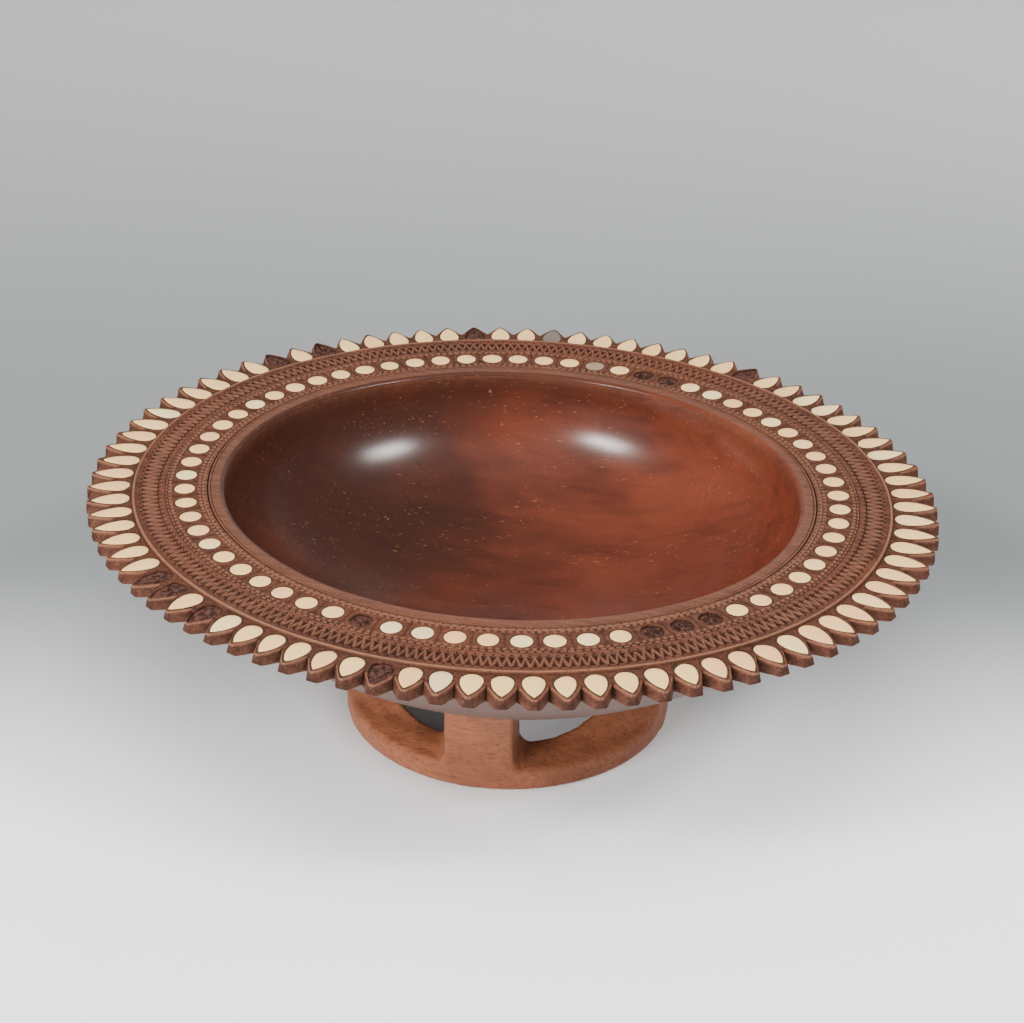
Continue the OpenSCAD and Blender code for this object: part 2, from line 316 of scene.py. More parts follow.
def toothed_zone(skin, oval, sizes, inlay):
    """The teeth and the recesses in them. Returns the loop inside the zone, and the teeth's edges."""
    rng = random.Random(11)
    n, cols, side_n = inlay.tooth_count, 14, 3
    z = sizes.tooth_z / MM
    fall = sizes.tooth_fall / MM
    notch = [sizes.notch_depth / MM + rng.uniform(-0.5, 0.4) for _ in range(n)]
    tip_back = [rng.uniform(0.0, 0.5) for _ in range(n)]
    skew = [rng.uniform(-0.25, 0.25) for _ in range(n)]
    angles = [tooth_angle(oval, k - 0.5 + m / cols, n) for k in range(n) for m in range(cols)]
    half_pitch = oval.row(4.0) / n / 2

    def edge_in(k, t, tip, power):
        """How far the edge of tooth k lies behind the tips, t from its middle, with a nose tip wide."""
        x = abs(t + skew[k] * 0.06) * 2 * half_pitch
        depth = notch[k] if t < 0 else notch[(k + 1) % n]
        return tip_back[k] + (depth - tip_back[k]) * max(0.0, (x - tip) / (half_pitch - tip)) ** power

    top, low, mid = [], [], []
    for k in range(n):
        rough = 1.0 if k in ROUGH_TEETH else 0.0
        for m in range(cols):
            a, t = angles[k * cols + m], m / cols - 0.5
            e = (edge_in(k, t, 1.2, 0.9) if m else notch[k]) + 0.25
            f = edge_in(k, t, 2.5, 1.0) if m else notch[k]
            if abs(t) > 0.2:
                f -= 0.9 if m else 1.6
            f = max(0.0, f)
            far = END_TOOTH * end_share(a) * (1 - min(1.0, e / notch[k])) ** 0.7
            p = oval.point(a, e - far)
            dz = -0.25 * (abs(t) < 0.2) + wobble(p[0], p[1], 0.12, 0.25) - rough * 0.5
            top.append((p[0], p[1], z + dz - 0.15))
            f -= END_TOOTH * end_share(a) * max(0.0, 1 - f / 9)
            g = 0.55 * (e - far) + 0.45 * f
            mid.append(oval.point(a, g, z - 0.30 * fall))
            low.append(oval.point(a, f, z - fall - RIM_FALL * max(0.0, f) / UNDER_IN))
    edge = skin.add(top, wear=0.75)
    # Notch bottoms are darkened as grime and painted shade
    for k in range(n):
        skin.marks[edge[k * cols]] = (0.7, 0.0, 0.0)
    # Painted shade: the teeth's outer and lower faces are darkened, most beside the notches and on the
    # blunt noses
    middle = skin.add(mid, grime=0.42, wear=0.1)
    bottom = skin.add(low, grime=0.45, wear=0.2)
    for k in range(n):
        for off in (-1, 0, 1):
            skin.marks[middle[(k * cols + off) % (n * cols)]] = (0.9 if off == 0 else 0.55, 0.0, 0.0)
        for off in (-2, -1, 0, 1, 2):   # the blunt nose of the tooth
            skin.marks[middle[k * cols + cols // 2 + off]] = (0.62, 0.0, 0.0)
            skin.marks[bottom[k * cols + cols // 2 + off]] = (0.7, 0.1, 0.0)
    skin.bridge(bottom, middle)
    skin.bridge(middle, edge)
    inner = skin.add([oval.point(a, TOOTH_ZONE_IN, z) for a in angles], grime=0.55)
    sides = []
    for k in range(n):
        a = angles[k * cols]
        e = notch[k] + 0.25
        line = [e + (TOOTH_ZONE_IN - e) * (j + 1) / (side_n + 1) for j in range(side_n)]
        sides.append(skin.add([oval.point(a, d, z - 0.12 + wobble(k, d, 0.5, 0.1)) for d in line],
                              grime=0.35))
    shell_l, shell_w = inlay.teardrop_length / MM, inlay.teardrop_width / MM
    wall = inlay.putty_wall / MM
    for k in range(n):
        a0 = tooth_angle(oval, k, n)
        t0 = math.radians(a0)
        u, v = (math.cos(t0), math.sin(t0)), (-math.sin(t0), math.cos(t0))
        hub = oval.point(a0, SHELL_TIP + shell_l - shell_w / 2)
        rim = cell_border(edge, inner, sides, k, cols)
        gone = k in LOST_TEARDROPS
        depth = 1.5 if gone else 0.9
        long_l = shell_l + END_SHELL * end_share(a0)
        loops = [[], [], [], []]
        for i in rim:
            px, py = skin.co[i][0] - hub[0], skin.co[i][1] - hub[1]
            phi = math.atan2(px * v[0] + py * v[1], px * u[0] + py * u[1])
            d = (math.cos(phi) * u[0] + math.sin(phi) * v[0], math.cos(phi) * u[1] + math.sin(phi) * v[1])
            jag = rng.uniform(-0.35, 0.25) if gone else 0.0
            r0 = teardrop_reach(phi, wall, long_l, shell_w) + jag
            r1 = r0 + 0.4 * (math.hypot(px, py) - r0)
            for loop, r, dz in zip(loops, (r1, r0, r0 - (0.3 if gone else 0.0), 0.5 * r0),
                                   (0.04, -0.02, -depth, -depth)):
                up = dz + (rng.uniform(-0.45, 0.5) if gone and dz < -1 else 0.0)
                up -= (0.35 if k in ROUGH_TEETH and dz > -1 else 0.0) * rng.random() * 1.6
                loop.append((hub[0] + d[0] * r, hub[1] + d[1] * r, z + up))
        skin_recess(skin, rim, loops, ((0.25, 0.12), (0.45, 0.0)), hub, z - depth)
    return inner, angles, bottom


def disc_zone(skin, oval, sizes, inlay):
    """The zone of the round shells, with its recesses. Returns the zone's outer and inner loops."""
    rng = random.Random(12)
    n, cols, side_n = inlay.disc_count, 12, 2
    outer_in, inner_in = DISC_ZONE
    z = sizes.disc_z / MM
    angles = [disc_angle(oval, k - 0.5 + m / cols, n) for k in range(n) for m in range(cols)]
    outer = skin.add([oval.point(a, outer_in, z - 0.1) for a in angles], grime=0.5)
    inner = skin.add([oval.point(a, inner_in, z - 0.1) for a in angles], grime=0.5)
    sides = []
    for k in range(n):
        line = [outer_in + (inner_in - outer_in) * (j + 1) / (side_n + 1) for j in range(side_n)]
        sides.append(skin.add([oval.point(angles[k * cols], d, z - 0.25) for d in line], grime=0.55))
    radius = inlay.disc_diameter / 2 / MM + inlay.putty_wall / MM
    for k in range(n):
        hub = oval.point(disc_angle(oval, k, n), DISC_ROW)
        rim = cell_border(outer, inner, sides, k, cols)
        gone = k in LOST_DISCS
        depth = 1.3 if gone else 0.9
        loops = [[], [], [], []]
        for i in rim:
            px, py = skin.co[i][0] - hub[0], skin.co[i][1] - hub[1]
            far = math.hypot(px, py)
            d = (px / far, py / far)
            r0 = radius + (rng.uniform(-0.3, 0.25) if gone else 0.0)
            for loop, r, dz in zip(loops, (r0 + 0.9, r0, r0 - (0.3 if gone else 0.0), 0.5 * r0),
                                   (0.12, 0.0, -depth, -depth)):
                up = dz + (rng.uniform(-0.4, 0.4) if gone and dz < -1 else 0.0)
                loop.append((hub[0] + d[0] * r, hub[1] + d[1] * r, z + up))
        skin_recess(skin, rim, loops, ((0.1, 0.2), (0.35, 0.0)), hub, z - depth)
    return outer, inner, angles


def carved_block(sizes, inlay):
    """The bowl from its teeth inwards over the bands to the basin, and back below along the belly."""
    oval, skin = Oval(sizes), Skin()
    rim_z, tooth_z = sizes.rim_z / MM, sizes.tooth_z / MM
    last, angles, bottom = toothed_zone(skin, oval, sizes, inlay)

    def band(rows, last, angles):
        """Rows of (inset, height, grime and painted shade, wear and painted highlight) along the rim."""
        for d, z, grime, wear in rows:
            pts = []
            for a in angles:
                p = oval.point(a, d)
                uneven = wobble(p[0], p[1], 0.09, 0.12, d) + wobble(p[0], p[1], 0.6, 0.06, d)
                pts.append((p[0], p[1], z + uneven))
            new = skin.add(pts, grime=grime, wear=wear)
            skin.bridge(last, new)
            last = new
        return last

    # Thin ridge, smooth outer band, sunk zigzag band, smooth middle band, thin ridge
    last = band([(20.3, rim_z - 0.35, 0.3, 0.6), (20.7, rim_z - 0.02, 0.0, 1.0),
                 (21.3, rim_z - 0.1, 0.0, 0.8), (21.7, rim_z - 0.45, 0.25, 0.0),
                 (24.6, rim_z - 0.65, 0.05, 0.1), (25.0, rim_z - 0.9, 0.4, 0.2),
                 (25.3, rim_z - 1.5, 0.85, 0.0), (33.0, rim_z - 1.5, 0.8, 0.0),
                 (33.3, rim_z - 0.8, 0.4, 0.1), (33.7, rim_z - 0.5, 0.05, 0.3),
                 (36.3, rim_z - 0.4, 0.08, 0.1), (36.6, rim_z - 0.6, 0.5, 0.0),
                 (37.0, rim_z - 0.12, 0.0, 0.7), (37.5, rim_z - 0.2, 0.1, 0.5)], last, angles)
    outer, inner, disc_angles = disc_zone(skin, oval, sizes, inlay)
    skin.zip(last, angles, outer, disc_angles)
    # Inner band, two grooves and the start of the lip
    last = band([(55.0, rim_z - 0.15, 0.1, 0.5), (55.4, rim_z - 0.08, 0.0, 0.7),
                 (57.2, rim_z - 0.15, 0.1, 0.15), (57.5, rim_z - 0.75, 0.95, 0.0),
                 (57.9, rim_z - 0.75, 0.95, 0.0), (58.1, rim_z - 0.12, 0.1, 0.5),
                 (58.9, rim_z - 0.12, 0.1, 0.3), (59.1, rim_z - 0.6, 0.9, 0.0),
                 (59.4, rim_z - 0.05, 0.1, 0.4)], inner, disc_angles)

    coarse = [i * 360 / 272 for i in range(272)]

    def plain(rows, last, last_angles, below=False):
        """Smooth rows of the lip, the basin or the belly."""
        first = True
        for d, z, grime, wear, polish in rows:
            pts = []
            for a in coarse:
                p = oval.point(a, d)
                uneven = wobble(p[0], p[1], 0.025, 0.35, 3.0 if below else 1.0)
                pts.append((p[0], p[1], z + uneven * min(1.0, polish + 0.3)))
            new = skin.add(pts, grime, wear, polish)
            if below:
                if first:
                    skin.zip(new, coarse, last, last_angles)
                else:
                    skin.bridge(new, last)
            elif first:
                skin.zip(last, last_angles, new, coarse)
            else:
                skin.bridge(last, new)
            last, first = new, False
        return last

    edge_z, deep = rim_z - 2, sizes.basin_depth / MM
    lip = [(60.4, rim_z - 0.02, 0.0, 0.25, 0.25), (62.0, rim_z, 0.0, 0.3, 0.35),
           (63.4, rim_z - 0.05, 0.0, 0.35, 0.5)]
    for a in (62, 45, 28, 10):
        c, up = math.cos(math.radians(a)), math.sin(math.radians(a))
        lip.append((BASIN_IN - 3.5 * (1 - c), edge_z + 2 * up, 0.0, 0.9 * up, 0.75))
    basin = []
    for i in range(35):
        c, down = math.cos(math.pi / 2 * i / 34), math.sin(math.pi / 2 * i / 34)
        basin.append((BASIN_IN + BASIN_RUN * (1 - c), edge_z - deep * down,
                      0.0, 0.0 if i else 0.35, min(1.0, 0.55 + 0.1 * i)))
    last = plain(lip + basin, last, disc_angles)
    floor = [skin.co[i] for i in last]
    for f in (0.66, 0.33):
        new = skin.add([(x * f, y * f, z) for x, y, z in floor], polish=1.0)
        skin.bridge(last, new)
        last = new
    skin.fan(last, skin.add([(0, 0, sizes.basin_floor_z / MM)], polish=1.0)[0])

    # Belly, from the notches down to the flat underside
    low_z, foot_z = tooth_z - sizes.tooth_fall / MM, sizes.belly_z / MM
    under_z = low_z - RIM_FALL
    rows = [(d, low_z - RIM_FALL * d / UNDER_IN, 0.1, 0.0, 0.0) for d in (10.8, 20.0)]
    for i in range(27):
        s = 1 - i / 26
        d = UNDER_IN + 141 * (i / 26)
        rows.append((d, foot_z + (under_z - foot_z) * s ** 3, 0.0, 0.0, 0.2))
    last = plain(rows, bottom, angles, below=True)
    floor = [skin.co[i] for i in last]
    new = skin.add([(x * 0.5, y * 0.5, z) for x, y, z in floor])
    skin.bridge(new, last)
    hub = skin.add([(0, 0, foot_z)])[0]
    for i in range(len(new)):
        skin.faces.append((new[(i + 1) % len(new)], new[i], hub))
    return skin.make("carved_bowl", 27)


def foot_piece(sizes):
    """Foot ring with its four pillars, softened as if cut by hand."""
    ro, ri = sizes.foot_diameter / 2 / MM, (sizes.foot_diameter / 2 - sizes.foot_ring_width) / MM
    belly = sizes.belly_z / MM
    edge_h, inner_h = 13.0, 18.0
    columns = []   # (outer angle, inner angle, outer height, inner height)
    turn = sizes.foot_turn
    for k in range(4):
        half, flare, ramp = 17.0, (14.0 if k % 2 == 0 else 6.0), (44.0 if k % 2 == 0 else 6.0)
        base = turn + math.pi / 2 * k
        path = []
        for i in range(14, 0, -1):      # hollow or ramp beside the pillar, longer at its inner side
            a = math.pi / 2 * i / 14
            rise, curl = 1 - i / 14, flare * (1 - math.sin(a))
            path.append((half + flare * math.sin(a), half + ramp * (i / 14), 11.0 + curl,
                         inner_h + (24.0 * rise ** 1.5 if ramp > 20 else curl)))
        side = [(half + 0.2, half + 0.3, ho, hi) for ho, hi in ((28.0, 43.0), (38.0, 46.0), (48.0, 49.0))]
        cap = [(y, y, 53.0, 53.0) for y in (half - 0.6, half * 0.6, half * 0.2)]
        right = path + side + cap       # from the window up onto the pillar
        for yo, yi, ho, hi in [(-yo, -yi, ho, hi) for yo, yi, ho, hi in right] + right[::-1]:
            columns.append((base + math.asin(yo / ro), base + math.asin(yi / ri), ho, hi))
        end_o, end_i = base + math.asin((half + flare) / ro), base + math.asin((half + ramp) / ri)
        next_flare, next_ramp = (6.0, 6.0) if k % 2 == 0 else (14.0, 44.0)
        nxt = base + math.pi / 2
        to_o, to_i = nxt - math.asin((half + next_flare) / ro), nxt - math.asin((half + next_ramp) / ri)
        for i in range(1, 14):
            f = i / 14
            columns.append((end_o + (to_o - end_o) * f, end_i + (to_i - end_i) * f, 0.0, 0.0))
    skin = Skin()
    loops = []
    for out_a, in_a, h_out, h_in in columns:
        eo, ei = max(edge_h, h_out), max(inner_h, h_in)
        ring = [(ri, 0.0), (ro - 1.6, 0.0), (ro - 0.5, 0.5), (ro, 1.6), (ro, eo - 3.5),
                (ro - 0.6, eo - 1.5), (ro - 2.2, eo - 0.2), (ro - 3.6, eo + 0.15),
                ((ro + ri) / 2, (eo + ei) / 2 + 0.4), (ri + 2.0, ei), (ri + 0.5, ei - 0.6), (ri, ei - 2.2)]
        pts = []
        for r, z in ring:
            f = (r - ri) / (ro - ri)
            a = in_a + (out_a - in_a) * f
            pts.append((r * math.cos(a), r * math.sin(a), z))
        loops.append(skin.add(pts))
    for i in range(len(loops)):
        skin.bridge(loops[i], loops[(i + 1) % len(loops)])
    obj = skin.make("carved_foot")
    bm = bmesh.new()
    bm.from_mesh(obj.data)
    bmesh.ops.recalc_face_normals(bm, faces=bm.faces)
    bm.to_mesh(obj.data)
    bm.free()
    rounded = obj.modifiers.new("Even mesh", "REMESH")
    rounded.mode, rounded.voxel_size, rounded.use_smooth_shade = "VOXEL", 1.15 * MM, True
    soft = obj.modifiers.new("Soft edges", "SMOOTH")
    soft.factor, soft.iterations = 0.5, 5
    mesh = bpy.data.meshes.new_from_object(obj.evaluated_get(bpy.context.evaluated_depsgraph_get()))
    obj.modifiers.clear()
    obj.data = mesh
    moved = []
    for v in mesh.vertices:
        x, y, z = v.co / MM
        cut = wobble(x + z, y, 0.11, 0.35) if 1.0 < z < belly - 0.5 else 0.0
        moved.append(v.co + v.normal * cut * MM)
    mesh.vertices.foreach_set("co", [c for co in moved for c in (co.x, co.y, max(co.z, 0.0))])
    mesh.update()
    mesh.shade_smooth()
    return obj


# ---------------------------------------------------------------- node trees

class Sock:
    """A socket in a node tree, so that shader sums read as Python."""

    def __init__(self, tree, out):
        self.tree, self.out = tree, out

    def _math(self, op, a, b=None, clamp=False):
        values = {0: a} if b is None else {0: a, 1: b}
        return node(self.tree, "ShaderNodeMath", {"operation": op, "use_clamp": clamp}, values)

    def __add__(self, o): return self._math("ADD", self, o)
    def __radd__(self, o): return self._math("ADD", o, self)
    def __sub__(self, o): return self._math("SUBTRACT", self, o)
    def __rsub__(self, o): return self._math("SUBTRACT", o, self)
    def __mul__(self, o): return self._math("MULTIPLY", self, o)
    def __rmul__(self, o): return self._math("MULTIPLY", o, self)
    def __pow__(self, o): return self._math("POWER", self, o)

    def clamped(self): return self._math("ADD", self, 0.0, True)

    def step(self, low, high):
        """Smooth 0 to 1 as the value goes from low to high."""
        return node(self.tree, "ShaderNodeMapRange", {"interpolation_type": "SMOOTHSTEP", "clamp": True},
                    {"Value": self, "From Min": low, "From Max": high})


def node(tree, kind, settings=None, inputs=None, output=0):
    """Adds a node, makes its settings, then fills its sockets with values or links."""
    n = tree.nodes.new(kind)
    for key, value in (settings or {}).items():
        setattr(n, key, value)
    for key, value in (inputs or {}).items():
        socket = n.inputs[key]
        if isinstance(value, Sock):
            tree.links.new(value.out, socket)
        elif isinstance(value, (tuple, list)) and len(value) == 3 and socket.type == "RGBA":
            socket.default_value = (*value, 1.0)
        else:
            socket.default_value = value
    return Sock(tree, n.outputs[output])


def mix(tree, factor, a, b, how="MIX"):
    """Mixes two colours."""
    n = tree.nodes.new("ShaderNodeMix")
    n.data_type, n.blend_type = "RGBA", how
    for index, value in ((0, factor), (6, a), (7, b)):
        if isinstance(value, Sock):
            tree.links.new(value.out, n.inputs[index])
        elif hasattr(value, "__len__"):
            n.inputs[index].default_value = (*value, 1.0)
        else:
            n.inputs[index].default_value = value
    return Sock(tree, n.outputs[2])


def scaled(colour, factor):
    """A colour made darker or paler."""
    return tuple(min(1.0, c * factor) for c in colour)


def stretched(tree, scale, offset=(0, 0, 0)):
    """Object coordinates scaled per axis, so that a texture stretches along the wood."""
    coords = node(tree, "ShaderNodeTexCoord", output=3)
    return node(tree, "ShaderNodeMapping", {}, {"Vector": coords, "Scale": scale, "Location": offset})


def cloud(tree, scale, detail=3.0, rough=0.55, distortion=0.0, offset=(0, 0, 0)):
    """Smooth noise with about scale lumps to the metre."""
    return node(tree, "ShaderNodeTexNoise", {}, {
        "Vector": stretched(tree, scale, offset), "Scale": 1.0, "Detail": detail,
        "Roughness": rough, "Distortion": distortion})


def mark(tree, name):
    """A mark of the mesh: grime and painted shade, wear and painted highlight, polish or tone."""
    return node(tree, "ShaderNodeAttribute", {"attribute_name": name}, output=2)


def axis(tree, index):
    """The x, y or z of the point."""
    coords = node(tree, "ShaderNodeTexCoord", output=3)
    return node(tree, "ShaderNodeSeparateXYZ", {}, {"Vector": coords}, index)


def bumped(tree, height, strength, distance):
    """The surface's direction, roughened by a height in metres."""
    return node(tree, "ShaderNodeBump", {}, {"Height": height, "Strength": strength, "Distance": distance})


def new_material(name):
    """An empty material and its node tree."""
    mat = bpy.data.materials.new(name)
    mat.use_nodes = True
    tree = mat.node_tree
    tree.nodes.clear()
    return mat, tree


def close_material(tree, inputs, constants):
    """Ends a material in one shader, with its varying inputs and its constants."""
    shader = tree.nodes.new("ShaderNodeBsdfPrincipled")
    for key, value in inputs.items():
        tree.links.new(value.out, shader.inputs[key])
    for key, value in constants.items():
        shader.inputs[key].default_value = value
    end = tree.nodes.new("ShaderNodeOutputMaterial")
    tree.links.new(shader.outputs[0], end.inputs["Surface"])


def rim_wood(colours):
    """Wood of the bowl: carved rim, polished basin and belly, told apart by marks and height."""
    mat, t = new_material("polished_wood")
    grime, wear, polish = mark(t, "grime"), mark(t, "wear"), mark(t, "polish")
    x, y, z = axis(t, 0), axis(t, 1), axis(t, 2)
    fibres = cloud(t, (45, 420, 420), 4.0, 0.6)
    patches = cloud(t, (9, 14, 14), 3.0, 0.6)
    specks = cloud(t, (900, 900, 900), 2.0, 0.6)
    crumbs = cloud(t, (330, 330, 330), 4.0, 0.7)
    # Rim
    rim = mix(t, fibres.step(0.30, 0.72), scaled(colours.rim, 0.62), scaled(colours.rim, 1.35))
    rim = mix(t, patches.step(0.4, 0.7) * 0.40, rim, (0.205, 0.062, 0.032))
    # Grime and painted shade: cuts, grooves, notches and down-turned faces are darkened
    rim = mix(t, (grime * 1.15 + (crumbs - 0.47) * 0.95).clamped() * 0.93, rim, colours.rim_dark)
    # Wear and painted highlight: ridge tops and edges are paled
    rim = mix(t, (wear * (0.35 + crumbs * 1.1) - 0.12).clamped() * 0.85, rim, colours.rim_wear_and_highlight)
    soot = cloud(t, (1100, 1100, 1100), 3.0, 0.65).step(0.50, 0.66) * patches.step(0.30, 0.62)
    rim = mix(t, soot * 0.55, rim, colours.rim_dark)
    rubbed = cloud(t, (700, 1500, 1500), 3.0, 0.6, offset=(0.3, 0.1, 0.7)).step(0.56, 0.70)
    rim = mix(t, rubbed * 0.35, rim, (0.26, 0.125, 0.075))
    # Basin: dark on one side and red brown on the other, partly the wood's colour and partly painted shade
    # on the dark side and painted light on the red side, with fine pale flecks
    side = ((x + y * -0.25) * 4.5 + (patches - 0.5) * 1.6 + 0.62).step(0.0, 1.0)
    streaks = cloud(t, (14, 110, 110), 3.0, 0.6, 0.6)
    basin = mix(t, side, colours.basin_dark_shaded_side, colours.basin_red_lit_side)
    basin = mix(t, streaks.step(0.42, 0.72) * 0.45, basin, (0.034, 0.0105, 0.0065))
    # Painted highlight: paler patches on the lit side of the basin
    basin = mix(t, patches.step(0.46, 0.68) * side * 0.45, basin, (0.178, 0.043, 0.021))
    flecks = cloud(t, (260, 900, 900), 1.0, 0.5).step(0.66, 0.76)
    flecks = flecks * cloud(t, (30, 40, 40), 2.0).step(0.40, 0.62)
    basin = mix(t, flecks * 0.55, basin, (0.33, 0.13, 0.065))
    # Dark blotch near the basin's middle
    far = ((x - 0.004) ** 2.0 * 9.0 + (y + 0.012) ** 2.0 * 30.0) ** 0.5
    blotch = (1.0 - far.step(0.006, 0.030)) * 0.62 * crumbs.step(0.3, 0.6)
    basin = mix(t, blotch, basin, (0.018, 0.007, 0.005))
    top = mix(t, polish.step(0.35, 0.85), rim, basin)
    # Belly
    belly = mix(t, fibres.step(0.35, 0.75), scaled(colours.belly, 0.75), colours.belly)
    below = (BELLY_TOP - z).step(0.0, 0.0015) * (1.0 - polish.step(0.35, 0.6))
    rough = 0.58 + (crumbs - 0.5) * 0.25 + grime * 0.3 - polish * 0.27 + (streaks - 0.5) * 0.06
    bump = (fibres - 0.5) * 0.35 + (crumbs - 0.5) * 0.9 + (specks - 0.5) * 0.3
    height = bump * (1.0 - polish * 0.97)
    normal = bumped(t, height, 0.75, 0.00045)
    close_material(t, {"Base Color": mix(t, below, top, belly), "Roughness": rough.clamped(),
                       "Normal": normal, "Coat Weight": polish * 0.6},
                   {"Specular IOR Level": 0.16, "Coat Roughness": 0.20})
    return mat


def foot_wood(colours):
    """Paler, waxed wood of the foot, with short dark flecks along the grain."""
    mat, t = new_material("foot_wood")
    fibres = cloud(t, (60, 520, 520), 4.0, 0.6)
    patches = cloud(t, (25, 40, 40), 3.0, 0.6)
    crumbs = cloud(t, (380, 380, 380), 3.0, 0.7)
    base = mix(t, fibres.step(0.3, 0.72), scaled(colours.foot, 0.74), scaled(colours.foot, 1.08))
    base = mix(t, patches.step(0.42, 0.7) * 0.5, base, (0.17, 0.062, 0.034))
    flecks = cloud(t, (230, 1300, 1300), 1.0, 0.4).step(0.60, 0.70)
    base = mix(t, flecks * 0.5, base, (0.050, 0.020, 0.012))
    bump = (fibres - 0.5) * 0.6 + (crumbs - 0.5) * 0.5 - flecks * 0.6
    normal = bumped(t, bump, 0.4, 0.0003)
    rough = 0.46 + (crumbs - 0.5) * 0.3
    close_material(t, {"Base Color": base, "Roughness": rough, "Normal": normal},
                   {"Specular IOR Level": 0.22})
    return mat


def shell_material(colours):
    """Polished mother-of-pearl, each shell with its own tone and fine growth lines."""
    mat, t = new_material("cut_shell")
    tone = mark(t, "tone")
    veil = cloud(t, (180, 180, 180), 2.0, 0.5, 0.8)
    lines = cloud(t, (500, 1400, 500), 2.0, 0.5, 0.4)
    base = mix(t, tone.step(0.0, 0.45), colours.shell_warm, colours.shell)
    base = mix(t, tone.step(0.55, 1.0), base, colours.shell_pale)
    base = mix(t, veil.step(0.35, 0.7) * 0.30, base, (0.92, 0.55, 0.24))
    base = mix(t, lines.step(0.45, 0.7) * 0.22, base, (0.62, 0.50, 0.34))
    base = mix(t, tone.step(1.1, 1.6) * 0.7, base, (0.74, 0.54, 0.32))
    base = mix(t, (tone * -1.0).step(0.2, 0.9), base, (0.16, 0.13, 0.10))
    rough = 0.30 + (veil - 0.5) * 0.25
    normal = bumped(t, veil + lines * 0.4, 0.25, 0.0002)
    close_material(t, {"Base Color": base, "Roughness": rough, "Normal": normal},
                   {"Specular IOR Level": 0.32})
    return mat


def putty_material(colours):
    """Dry dark putty, crumbly where a shell has fallen out."""
    mat, t = new_material("dry_putty")
    lumps = cloud(t, (420, 420, 420), 4.0, 0.7)
    gloss = cloud(t, (900, 900, 900), 2.0, 0.6)
    bare = mark(t, "tone")
    base = mix(t, lumps.step(0.35, 0.7), (0.020, 0.012, 0.007), scaled(colours.putty, 1.9))
    crumbled = mix(t, lumps.step(0.40, 0.62), (0.020, 0.008, 0.006), (0.115, 0.040, 0.026))
    base = mix(t, bare, base, crumbled)
    base = mix(t, gloss.step(0.62, 0.75) * 0.4, base, (0.16, 0.10, 0.07))
    normal = bumped(t, lumps, 0.8, 0.0006)
    rough = 0.70 - gloss.step(0.6, 0.75) * 0.45
    close_material(t, {"Base Color": base, "Roughness": rough, "Normal": normal},
                   {"Specular IOR Level": 0.5})
    return mat


def material(kind, build):
    """A material by name, built the first time it is wanted."""
    return bpy.data.materials.get(kind) or build(bpy.context.scene.bowl_colours)


def new_tree(name, sockets):
    """A geometry node tree with named inputs, as the tree, its inputs by name and its output node."""
    tree = bpy.data.node_groups.new(name, "GeometryNodeTree")
    tree.interface.new_socket("Geometry", in_out="INPUT", socket_type="NodeSocketGeometry")
    for label, kind, default in sockets:
        s = tree.interface.new_socket(label, in_out="INPUT", socket_type="NodeSocket" + kind)
        if default is not None:
            s.default_value = default
    tree.interface.new_socket("Geometry", in_out="OUTPUT", socket_type="NodeSocketGeometry")
    given = tree.nodes.new("NodeGroupInput")
    return tree, {s.name: Sock(tree, s) for s in given.outputs if s.name}, tree.nodes.new("NodeGroupOutput")


def chance(tree, src, shift):
    """A random value from -1 to 1 for each copy, from the tree's seed."""
    n = tree.nodes.new("FunctionNodeRandomValue")
    n.data_type = "FLOAT"
    n.inputs[2].default_value, n.inputs[3].default_value = -1.0, 1.0
    tree.links.new((src["Seed"] + float(shift)).out, n.inputs["Seed"])
    return Sock(tree, n.outputs[1])


def vector(tree, x, y, z):
    return node(tree, "ShaderNodeCombineXYZ", {}, {"X": x, "Y": y, "Z": z})


def stand_copies(tree, src, end, points, turn, scale):
    """Stands the tree's shape on the points, turned and sized, as real geometry with its material."""
    shape = node(tree, "GeometryNodeObjectInfo", {}, {"Object": src["Shape"]})
    shape = Sock(tree, shape.out.node.outputs["Geometry"])
    rotation = node(tree, "FunctionNodeEulerToRotation", {}, {0: turn})
    placed = node(tree, "GeometryNodeInstanceOnPoints", {}, {
        "Points": points, "Instance": shape, "Rotation": rotation, "Scale": scale})
    real = node(tree, "GeometryNodeRealizeInstances", {}, {"Geometry": placed})
    done = node(tree, "GeometryNodeSetMaterial", {}, {"Geometry": real, "Material": src["Material"]})
    tree.links.new(done.out, end.inputs[0])
    return tree


def placed_tree():
    """Stands a copy of a hand-cut shape at every point, turned and sized by the point's marks."""
    name = "Inlay in a row"
    if name in bpy.data.node_groups:
        return bpy.data.node_groups[name]
    tree, src, end = new_tree(name, (
        ("Shape", "Object", None), ("Spread", "Float", 0.03), ("Tilt", "Float", 0.02),
        ("Seed", "Int", 3), ("Material", "Material", None)))
    turn = node(tree, "GeometryNodeInputNamedAttribute", {"data_type": "FLOAT"}, {"Name": "turn"})
    size = node(tree, "GeometryNodeInputNamedAttribute", {"data_type": "FLOAT_VECTOR"}, {"Name": "size"})
    lean = vector(tree, chance(tree, src, 1) * src["Tilt"], chance(tree, src, 2) * src["Tilt"],
                  turn + chance(tree, src, 3) * src["Spread"])
    grow = vector(tree, 1.0 + chance(tree, src, 4) * src["Spread"],
                  1.0 + chance(tree, src, 5) * src["Spread"], 1.0)
    scale = node(tree, "ShaderNodeVectorMath", {"operation": "MULTIPLY"}, {0: size, 1: grow})
    return stand_copies(tree, src, end, src["Geometry"], lean, scale)


